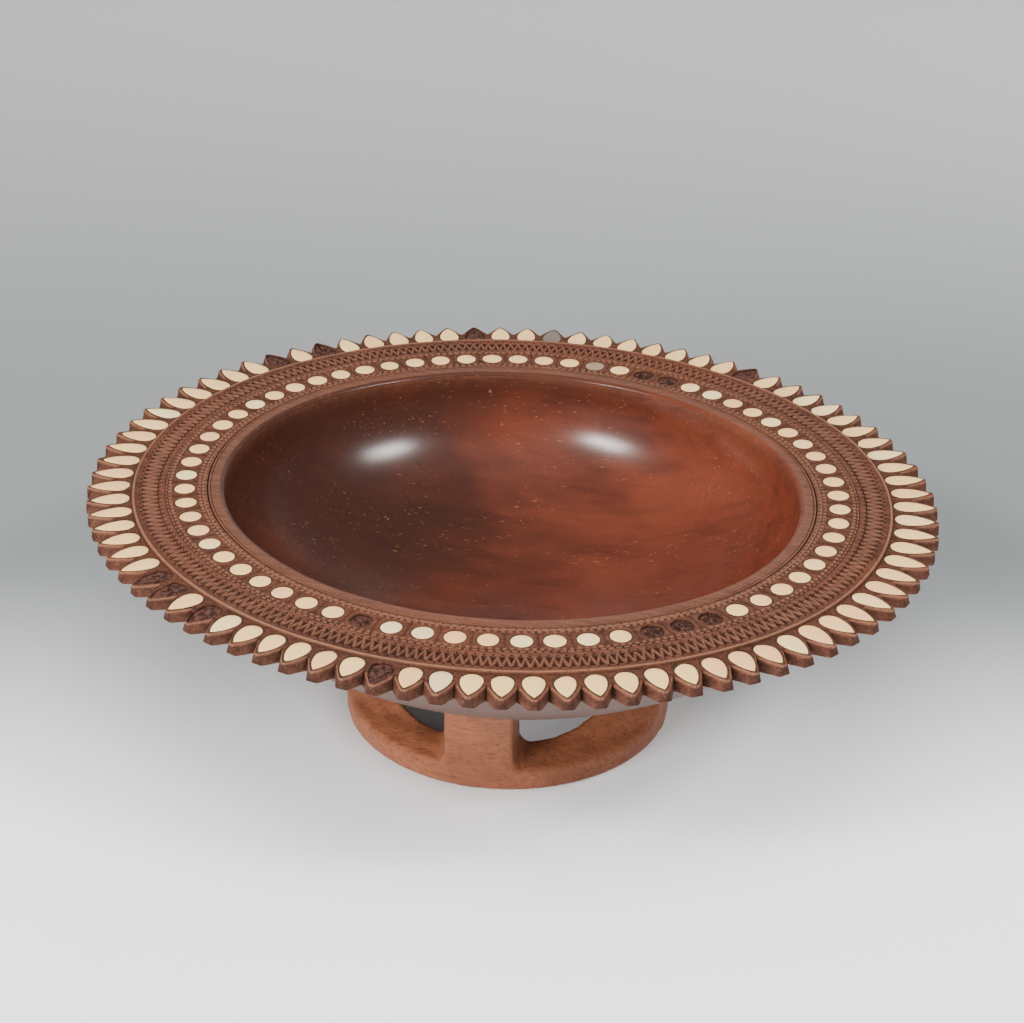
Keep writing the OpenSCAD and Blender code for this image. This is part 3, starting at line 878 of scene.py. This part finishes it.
def edging_tree():
    """Repeats a small cut shape at even steps along a closed line."""
    name = "Cuts along a line"
    if name in bpy.data.node_groups:
        return bpy.data.node_groups[name]
    tree, src, end = new_tree(name, (
        ("Shape", "Object", None), ("Count", "Int", 200), ("Unevenness", "Float", 0.1),
        ("Seed", "Int", 5), ("Material", "Material", None)))
    line = node(tree, "GeometryNodeMeshToCurve", {}, {"Mesh": src["Geometry"]})
    line = node(tree, "GeometryNodeResampleCurve", {}, {"Curve": line, "Count": src["Count"]})
    tangent = node(tree, "GeometryNodeInputTangent")
    tx, ty = (node(tree, "ShaderNodeSeparateXYZ", {}, {"Vector": tangent}, i) for i in (0, 1))
    heading = node(tree, "ShaderNodeMath", {"operation": "ARCTAN2"}, {0: ty, 1: tx})
    uneven = src["Unevenness"]
    turn = vector(tree, 0.0, 0.0, heading + chance(tree, src, 1) * uneven * 0.6)
    scale = vector(tree, 1.0 + chance(tree, src, 2) * uneven, 1.0 + chance(tree, src, 3) * uneven * 0.4,
                   1.0 + chance(tree, src, 4) * uneven)
    return stand_copies(tree, src, end, line, turn, scale)


def run_tree(base, tree, values, name):
    """Runs a node tree on a base object and returns the result as a plain mesh object."""
    mod = base.modifiers.new("Carving", "NODES")
    mod.node_group = tree
    for item in tree.interface.items_tree:
        if item.in_out == "INPUT" and item.name in values:
            mod[item.identifier] = values[item.name]
    base.update_tag()
    deps = bpy.context.evaluated_depsgraph_get()
    mesh = bpy.data.meshes.new_from_object(base.evaluated_get(deps))
    mesh.name = name
    base.modifiers.remove(mod)
    bpy.data.objects.remove(base)
    obj = new_object(name, mesh)
    mesh.shade_smooth()
    mesh.set_sharp_from_angle(angle=math.radians(38))
    return obj


def oval_line(oval, inset, z):
    """A closed line along the oval, for repeated cuts."""
    pts = [tuple(v * MM for v in oval.point(i * 0.5, inset, z)) for i in range(720)]
    mesh = bpy.data.meshes.new("line")
    mesh.from_pydata(pts, [(i, (i + 1) % 720) for i in range(720)], [])
    return new_object("line", mesh)


def place_points(places):
    """Points for a row of inlays, with their turn, size and tone."""
    mesh = bpy.data.meshes.new("places")
    mesh.from_pydata([p[0] for p in places], [], [])
    for name, kind in (("turn", "FLOAT"), ("size", "FLOAT_VECTOR"), ("tone", "FLOAT")):
        mesh.attributes.new(name, kind, "POINT")
    mesh.attributes["turn"].data.foreach_set("value", [p[1] for p in places])
    mesh.attributes["size"].data.foreach_set("vector", [v for p in places for v in p[2]])
    mesh.attributes["tone"].data.foreach_set("value", [p[3] for p in places])
    return new_object("places", mesh)


PHI = [0, 5, 11, 19, 30, 45, 65, 90, 115, 140, 162, 180]
PHI += [-p for p in PHI[-2:0:-1]]


def cut_shape(name, outline, profile, middle_z, seed=None):
    """A closed small solid from an outline and rows of (shrink in mm, height in mm), lowest first."""
    skin, rng = Skin(), random.Random(seed or 0)
    loops, rough = [], 0.16 if seed else 0.0
    for shrink, z in profile:
        pts = []
        for x, y in outline:
            keep = 1 - shrink / math.hypot(x - 0.01, y)
            pts.append((x * keep, y * keep, z + rng.uniform(-rough, rough)))
        loops.append(skin.add(pts))
    for a, b in zip(loops, loops[1:]):
        skin.bridge(a, b)
    cx = sum(p[0] for p in outline) / len(outline)
    top = skin.add([(cx, 0, middle_z)])[0]
    inner = skin.add([(cx + (x - cx) * 0.5, y * 0.5, middle_z + rng.uniform(-0.12, 0.12) * bool(seed))
                      for x, y in outline])
    skin.bridge(loops[-1], inner)
    skin.fan(inner, top)
    skin.faces.append(tuple(reversed(loops[0])))
    obj = skin.make(name)
    obj.hide_render = True
    return obj


def teardrop_outline(inlay, grow):
    l, w = inlay.teardrop_length / MM, inlay.teardrop_width / MM
    back = l / 2 - w / 2
    return [(teardrop_reach(math.radians(p), grow, l, w) * math.cos(math.radians(p)) - back,
             teardrop_reach(math.radians(p), grow, l, w) * math.sin(math.radians(p))) for p in PHI]


def round_outline(inlay, grow):
    r = inlay.disc_diameter / 2 / MM + grow
    return [(r * math.cos(i * math.pi / 12), r * math.sin(i * math.pi / 12)) for i in range(24)]


def wood_shape(name, verts, faces, marks):
    """A small carved shape of wood with marks, for repeating."""
    skin = Skin()
    for p, m in zip(verts, marks):
        skin.add([p], *m)
    skin.faces = faces
    obj = skin.make(name)
    obj.hide_render = True
    return obj


def zigzag_shape(half_step, half_width, height):
    """One V of the zigzag ridge, as two closed bars: x along the band, y across it."""
    verts, marks, faces = [], [], []
    bar = [(0, 4, 5, 1), (1, 5, 6, 2), (2, 6, 7, 3), (3, 7, 4, 0), (0, 1, 2, 3), (7, 6, 5, 4)]
    for start, end, top in (((-half_step, half_width), (0.0, -half_width), height),
                            ((0.0, 0.05 - half_width), (half_step, half_width), height - 0.04)):
        first = len(verts)
        for x, y in (start, end):
            for dx, z, wear in ((-1.20, 0.0, 0.0), (-0.32, top, 0.42), (0.32, top, 0.42), (1.20, 0.0, 0.0)):
                verts.append((x + dx, y, z))
                marks.append((0.8 if z == 0 else 0.0, wear, 0.0))
        for face in bar:
            face = [first + i for i in face]
            faces.append(tuple(face if end[1] < start[1] else reversed(face)))
    return wood_shape("zigzag_cut", verts, faces, marks)


def wedge_shape(width, depth, height):
    """A small wedge left between two nicks. A depth below 0 turns it to face the other way."""
    w, d = width / 2, depth / 2
    verts = [(-w, -d, -0.4), (w, -d, -0.4), (w, d, -0.4), (-w, d, -0.4),
             (-w * 0.35, -d * 0.8, height), (w * 0.35, -d * 0.8, height),
             (w * 0.5, d, height * 0.9), (-w * 0.5, d, height * 0.9)]
    faces = [(3, 2, 1, 0), (0, 1, 5, 4), (1, 2, 6, 5), (2, 3, 7, 6), (3, 0, 4, 7), (4, 5, 6, 7)]
    if depth < 0:
        faces = [face[:1] + face[:0:-1] for face in faces]
    return wood_shape("wedge_cut", verts, faces, [(0.6, 0, 0)] * 4 + [(0.0, 0.6, 0)] * 4)


def shade_chip_shape(width, depth):
    """A small three-cornered chip mark, standing just proud of the wood and marked dark as painted shade in
    a cut.
    """
    w, d = width / 2, depth / 2
    verts = [(x, y, z) for z in (-0.4, 0.0) for x, y in ((-w, -d), (w, -d), (0.0, d))]
    faces = [(2, 1, 0), (3, 4, 5), (0, 1, 4, 3), (1, 2, 5, 4), (2, 0, 3, 5)]
    return wood_shape("chip_cut", verts, faces, [(1.0, 0, 0)] * 6)


# ---------------------------------------------------------------- operators

class CarveBowl(bpy.types.Operator):
    """Carve the bowl with its teeth, bands, recesses, basin and belly"""
    bl_idname, bl_label = "bowl.carve", "Carve bowl"

    def execute(self, context):
        scene = context.scene
        obj = carved_block(scene.bowl_sizes, scene.bowl_inlay)
        finish_piece(obj, material("polished_wood", rim_wood), "carved_wood", "bowl")
        return {"FINISHED"}


class CarveFoot(bpy.types.Operator):
    """Carve the foot ring and its four pillars"""
    bl_idname, bl_label = "bowl.foot", "Carve foot"

    def execute(self, context):
        obj = foot_piece(context.scene.bowl_sizes)
        finish_piece(obj, material("foot_wood", foot_wood), "carved_wood", "bowl")
        return {"FINISHED"}


class CarveZigzag(bpy.types.Operator):
    """Cut the zigzag ridge and the rows of nicks"""
    bl_idname, bl_label = "bowl.zigzag", "Cut zigzag and nicks"

    def execute(self, context):
        scene = context.scene
        sizes, inlay, oval = scene.bowl_sizes, scene.bowl_inlay, Oval(scene.bowl_sizes)
        rim_z, wood = sizes.rim_z / MM, material("polished_wood", rim_wood)
        disc_z, zigzags, nicks = sizes.disc_z / MM, inlay.zigzag_count, inlay.nick_count
        ridge = zigzag_shape(oval.row(ZIGZAG_ROW) / zigzags / 2, 3.75, 1.05)
        # Name, inset, height, shape, number, unevenness, seed
        rows = (("zigzag_ridge", ZIGZAG_ROW, rim_z - 1.55, ridge, zigzags, 0.07, 5),
                ("outer_nicks", 38.9, disc_z, wedge_shape(2.7, 1.7, 0.40), nicks, 0.22, 6),
                ("inner_nicks", 53.7, disc_z, wedge_shape(2.7, -1.7, 0.40), nicks - 30, 0.22, 7),
                ("band_nicks", 25.0, rim_z - 1.0, wedge_shape(1.6, 0.9, 0.35), zigzags, 0.15, 8),
                ("outer_chips", 24.2, rim_z - 0.45, shade_chip_shape(1.3, 1.2), zigzags, 0.25, 9),
                ("middle_chips", 34.1, rim_z - 0.32, shade_chip_shape(1.3, 1.1), zigzags, 0.25, 10),
                ("border_chips", 37.2, rim_z, shade_chip_shape(1.1, 0.9), nicks - 20, 0.25, 11),
                ("inner_chips", 56.1, rim_z + 0.05, shade_chip_shape(1.1, 0.9), nicks - 60, 0.25, 12))
        for name, inset, z, shape, count, uneven, seed in rows:
            obj = run_tree(oval_line(oval, inset, z), edging_tree(),
                           {"Shape": shape, "Count": count, "Unevenness": uneven, "Seed": seed,
                            "Material": wood}, name)
            bpy.data.objects.remove(shape)
            finish_piece(obj, wood, "carved_wood", "bowl")
        return {"FINISHED"}


def row_places(kind, oval, sizes, inlay):
    """Every place of a row of inlays: its index, point, angle and whether its shell is lost."""
    teeth = kind == "teardrop"
    n = inlay.tooth_count if teeth else inlay.disc_count
    out = []
    for k in range(n):
        angle = tooth_angle(oval, k, n) if teeth else disc_angle(oval, k, n)
        shell_l = inlay.teardrop_length / MM - END_SHELL * end_share(angle)
        inset = SHELL_TIP + shell_l / 2 if teeth else DISC_ROW
        p = oval.point(angle, inset, (sizes.tooth_z if teeth else sizes.disc_z) / MM)
        lost = k in (LOST_TEARDROPS if teeth else LOST_DISCS)
        out.append((k, tuple(v * MM for v in p), math.radians(angle), lost))
    return out, n


class SetInlay(bpy.types.Operator):
    """Cut and set the teardrop and round shells in their putty"""
    bl_idname, bl_label = "bowl.inlay", "Set shells and putty"

    def execute(self, context):
        scene = context.scene
        sizes, inlay, oval = scene.bowl_sizes, scene.bowl_inlay, Oval(scene.bowl_sizes)
        shell, putty = material("cut_shell", shell_material), material("dry_putty", putty_material)
        shapes = {}
        for kind, outline in (("teardrop", teardrop_outline), ("round", round_outline)):
            shapes[kind] = cut_shape(kind + "_shell", outline(inlay, 0.0),
                                     ((0.15, -1.0), (0.0, -0.06), (0.05, 0.03), (0.16, 0.07)), 0.10)
            shapes[kind + "_bed"] = cut_shape(
                kind + "_plug", outline(inlay, inlay.putty_wall / MM),
                ((0.1, -0.8), (0.0, -0.12), (0.2, -0.02), (0.5, 0.0)), -0.05)
            shapes[kind + "_lost"] = cut_shape(
                kind + "_rough", outline(inlay, inlay.putty_wall / MM - 0.1),
                ((0.0, -1.9), (0.1, -1.15), (1.3, -0.95)), -1.25, seed=4)
        for kind, cad in (("teardrop", "teardrop"), ("round", "disc")):
            rng = random.Random(21 if kind == "teardrop" else 22)
            places, n = row_places(kind, oval, sizes, inlay)
            odd = ODD_TEARDROPS if kind == "teardrop" else ODD_DISCS
            dressed = []
            for k, p, angle, lost in places:
                tone = odd.get(k, min(1.0, max(0.02, rng.gauss(0.42, 0.26))))
                share = END_SHELL * end_share(math.degrees(angle)) * MM / inlay.teardrop_length
                fit = 1.0 + (share if kind == "teardrop" else 0.0)
                along = fit * (1.0 + rng.uniform(-0.025, 0.02))
                if kind == "teardrop" and 248 < math.degrees(angle) % 360 < 325:
                    along -= 0.05
                size = (along, 1.0 + rng.uniform(-0.06, 0.01), 1.0)
                dressed.append((k, p, angle, size, tone, lost, fit))
            for s in range(SECTORS):
                here = [d for d in dressed if d[0] * SECTORS // n == s]
                kept = [(p, a, size, tone) for _, p, a, size, tone, lost, _ in here if not lost]
                beds = [(p, a, (fit, 1, 1), 0.0) for _, p, a, _, _, lost, fit in here if not lost]
                rough = [(p, a, (fit, 1, 1), 1.0) for _, p, a, _, _, lost, fit in here if lost]
                # Points, shape, name, spread, tilt, first seed, material, CAD slot, CAD node
                for points, shape, name, spread, tilt, seed, stuff, slot, cad_name in (
                        (kept, "", "shells", 0.02, 0.012, 31, shell, "pearl_shell", "shells"),
                        (beds, "_bed", "putty", 0.0, 0.0, 51, putty, "dark_putty", "putty"),
                        (rough, "_lost", "bare_putty", 0.03, 0.03, 71, putty, "dark_putty", "putty")):
                    if points:
                        obj = run_tree(place_points(points), placed_tree(),
                                       {"Shape": shapes[kind + shape], "Spread": spread, "Tilt": tilt,
                                        "Seed": seed + s, "Material": stuff},
                                       f"{kind}_{name}_{s + 1:02d}")
                        finish_piece(obj, stuff, slot, f"{cad}_{cad_name}_{s + 1:02d}")
        for shape in shapes.values():
            bpy.data.objects.remove(shape)
        return {"FINISHED"}


class SetStage(bpy.types.Operator):
    """Set the floor, the lights and the camera"""
    bl_idname, bl_label = "bowl.stage", "Set stage"

    def execute(self, context):
        scene = context.scene
        stage = scene.bowl_stage
        skin = Skin()
        # Distance and height, in mm, of the floor and of the wall that it sweeps up into
        rows = [(-3000, 0), (-1000, 0), (0, 0), (1500, 0), (2600, 60), (3400, 400), (3900, 1100),
                (4000, 3200)]
        loops = [skin.add([(x, y, z - 0.05) for x in (-4500, 0, 4500)]) for y, z in rows]
        for a, b in zip(loops, loops[1:]):
            skin.bridge(a, b, closed=False)
        floor = skin.make("studio_floor", 180)
        mat, t = new_material("studio_paper")
        # Distances away from the camera and across its view, from the middle of the foot
        x, y = axis(t, 0), axis(t, 1)
        back = x * -0.251 + y * 0.968
        across = x * 0.966 + y * 0.258
        # Pale before the bowl, a painted shadow band just behind it, grey far behind
        base = mix(t, back.step(-0.16, 0.17), stage.floor_pale, stage.floor_shadow_band)
        base = mix(t, back.step(0.18, 1.6), base, stage.floor_grey)
        grain = cloud(t, (3, 3, 3), 2.0)
        base = mix(t, grain * 0.04, base, (0.7, 0.7, 0.7))
        # Painted light: the floor before the bowl glows, and a patch inside the foot ring on the left is
        # kept from glowing as painted shadow
        shade = 1.0 - (x ** 2.0 + y ** 2.0).step(0.0055, 0.0100)
        shade = shade * (1.0 - across.step(-0.03, 0.005))
        lit = mix(t, back.step(-0.16, 0.13), (0.36, 0.36, 0.36), (0.0, 0.0, 0.0))
        lit = mix(t, shade, lit, (0.0, 0.0, 0.0))
        close_material(t, {"Base Color": base, "Emission Color": lit},
                       {"Roughness": 0.75, "Specular IOR Level": 0.2, "Emission Strength": 1.0})
        floor.data.materials.append(mat)
        warm, soft, white, cool = (1, 0.98, 0.95), (1, 0.98, 0.96), (1, 1, 1), (0.96, 0.98, 1)
        box = (0.44, 0.30)
        # Name, place, aim, width and height, watts, tint, seen in reflections
        for name, place, aim, size, power, tint, seen in (
                ("Soft box right", (1.33, -0.50, 1.68), (-0.09, 0.08, 0.09), box, 24.0, warm, True),
                ("Soft box left", (-0.91, -1.33, 1.48), (0.02, 0.11, 0.09), box, 30.0, warm, True),
                ("Low front fill", (-1.0, -1.8, 0.68), (0, 0, 0.02), (1.2, 0.6), 54.0, soft, False),
                ("Low right fill", (1.3, 0.95, 0.60), (0, 0, 0), (0.5, 0.3), 16.0, white, False),
                ("Sky fill", (0, 0, 3.0), (0, 0, 0), (3.0, 3.0), 26.0, cool, False),
                ("Floor wash", (0.1, -0.9, 2.6), (0, -0.6, 0), (1.6, 1.0), 38.0, white, False)):
            data = bpy.data.lights.new(name, "AREA")
            data.shape, data.size, data.size_y = "RECTANGLE", size[0], size[1]
            data.energy, data.color = power, tint
            lamp = new_object(name, data)
            lamp.location = place
            lamp.visible_glossy = seen
            lamp.rotation_euler = (Vector(aim) - Vector(place)).to_track_quat("-Z", "Y").to_euler()
        world = bpy.data.worlds.new("Studio")
        world.use_nodes = True
        sky = world.node_tree.nodes["Background"].inputs
        sky["Color"].default_value, sky["Strength"].default_value = (0.93, 0.96, 1.0, 1.0), 0.20
        scene.world = world
        data = bpy.data.cameras.new("Camera")
        data.lens, data.sensor_width = stage.camera_lens, 36.0
        data.clip_start, data.clip_end = 0.05, 50.0
        scene.camera = new_object("Camera", data)
        scene.camera.location, scene.camera.rotation_euler = stage.camera_place, stage.camera_turn
        return {"FINISHED"}


class BowlPanel(bpy.types.Panel):
    """Sizes and colours of the bowl, and the steps that build it"""
    bl_idname, bl_label = "VIEW3D_PT_bowl", "Bowl"
    bl_space_type, bl_region_type, bl_category = "VIEW_3D", "UI", "Bowl"

    def draw(self, context):
        for group in (context.scene.bowl_sizes, context.scene.bowl_inlay, context.scene.bowl_colours,
                      context.scene.bowl_stage):
            box = self.layout.box()
            for name in group.__annotations__:
                box.prop(group, name)
        for step in STEPS:
            self.layout.operator(step.bl_idname)


GROUPS = {"bowl_sizes": BowlSizes, "bowl_inlay": InlaySizes, "bowl_colours": WoodColours,
          "bowl_stage": StageSettings}
STEPS = (SetStage, CarveBowl, CarveFoot, CarveZigzag, SetInlay)


def register():
    for name, group in GROUPS.items():
        bpy.utils.register_class(group)
        setattr(bpy.types.Scene, name, PointerProperty(type=group))
    for cls in STEPS + (BowlPanel,):
        bpy.utils.register_class(cls)


def unregister():
    for cls in (BowlPanel,) + STEPS[::-1]:
        bpy.utils.unregister_class(cls)
    for name, group in GROUPS.items():
        delattr(bpy.types.Scene, name)
        bpy.utils.unregister_class(group)


def main():
    register()
    bpy.ops.bowl.stage()
    bpy.ops.bowl.carve()
    bpy.ops.bowl.foot()
    bpy.ops.bowl.zigzag()
    bpy.ops.bowl.inlay()


if __name__ == "__main__":
    main()
